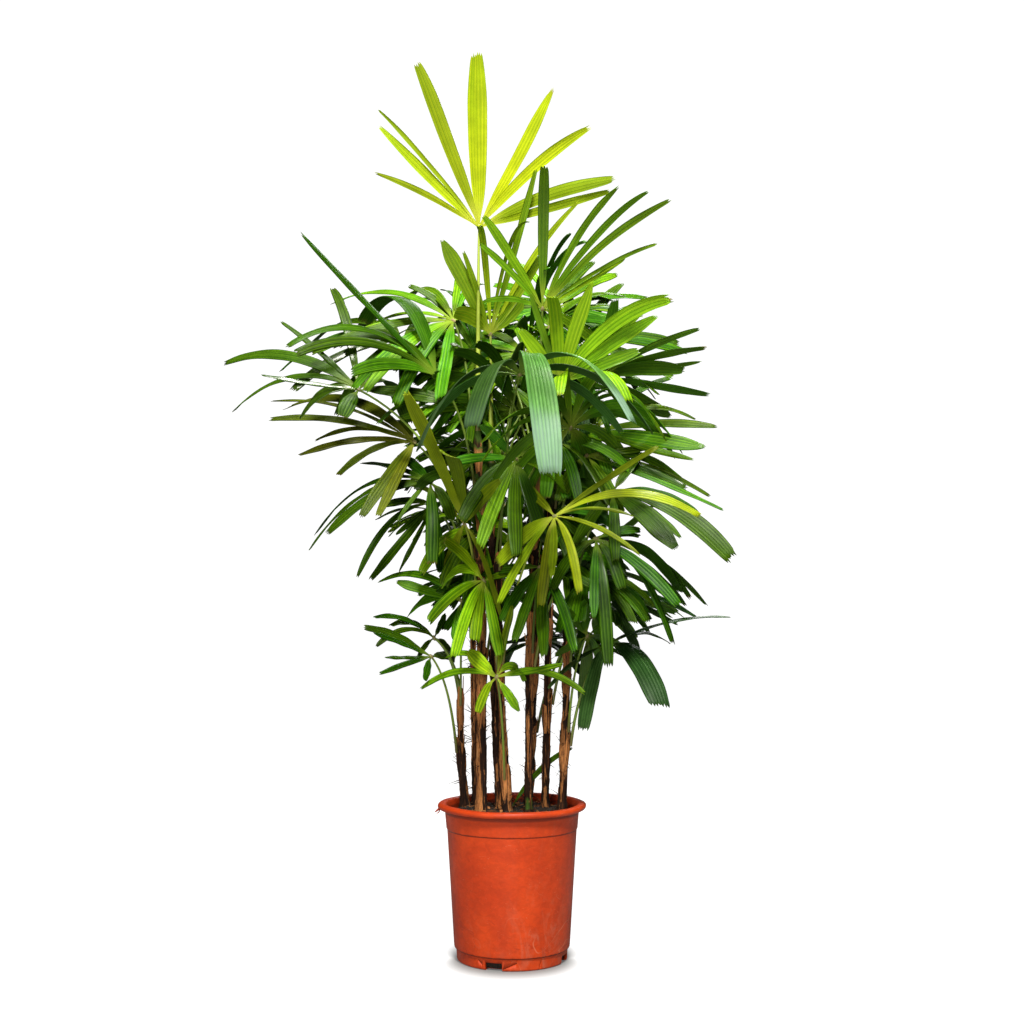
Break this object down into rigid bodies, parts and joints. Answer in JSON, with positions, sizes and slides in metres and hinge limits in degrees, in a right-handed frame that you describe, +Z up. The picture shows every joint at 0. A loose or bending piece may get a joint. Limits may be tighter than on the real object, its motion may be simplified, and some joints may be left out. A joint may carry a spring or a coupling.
{
  "type": "potted lady palm",
  "caption": "A tall clump of a fan palm: slim dark fibrous canes carry fans of long strap-shaped green leaflets, in a plain round orange nursery pot filled with soil.",
  "frame": {"origin": "middle of the flat underside of the pot, on the surface that the pot stands on", "axes": "+Z up along the canes, +X to the right and -Y to the front as the plant is seen"},
  "size_m": [0.795, 0.6925, 1.4325],
  "materials": {
    "pot_plastic": "satin",
    "soil": "rough",
    "cane": "rough",
    "leaf_young": "satin",
    "leaf_green": "satin",
    "leaf_deep": "satin",
    "leaf_olive": "satin"
  },
  "bodies": {
    "root": {"pot": "pot_plastic", "soil": "soil", "cane_leftShort": "cane", "cane_leftSlim": "cane", "cane_tall": "cane", "cane_inner": "cane", "cane_front": "cane", "cane_bent": "cane", "cane_right": "cane", "cane_rightOuter": "cane", "cane_backLeft": "cane", "cane_backRight": "cane", "frond_01": "leaf_young", "frond_02": "leaf_green", "frond_03": "leaf_young", "frond_04": "leaf_deep", "frond_05": "leaf_deep", "frond_06": "leaf_deep", "frond_07": "leaf_green", "frond_08": "leaf_green", "frond_09": "leaf_olive", "frond_10": "leaf_olive", "frond_11": "leaf_green", "frond_12": "leaf_deep", "frond_13": "leaf_olive", "frond_14": "leaf_deep", "frond_15": "leaf_deep", "frond_16": "leaf_deep", "frond_17": "leaf_green", "frond_18": "leaf_deep", "frond_19": "leaf_deep", "frond_20": "leaf_green", "frond_21": "leaf_green", "frond_22": "leaf_deep", "frond_23": "leaf_green", "frond_24": "leaf_green", "frond_25": "leaf_deep", "frond_26": "leaf_deep", "frond_27": "leaf_deep", "frond_28": "leaf_deep", "frond_29": "leaf_green", "frond_30": "leaf_deep", "frond_31": "leaf_green", "frond_32": "leaf_green", "frond_33": "leaf_deep", "frond_34": "leaf_green", "frond_35": "leaf_deep", "frond_36": "leaf_deep", "frond_37": "leaf_deep", "frond_38": "leaf_green", "frond_39": "leaf_deep", "frond_40": "leaf_deep", "frond_41": "leaf_green", "frond_42": "leaf_deep", "frond_43": "leaf_deep", "frond_44": "leaf_green", "frond_45": "leaf_deep", "frond_46": "leaf_deep", "frond_47": "leaf_green", "frond_48": "leaf_deep"}
  },
  "joints": []
}
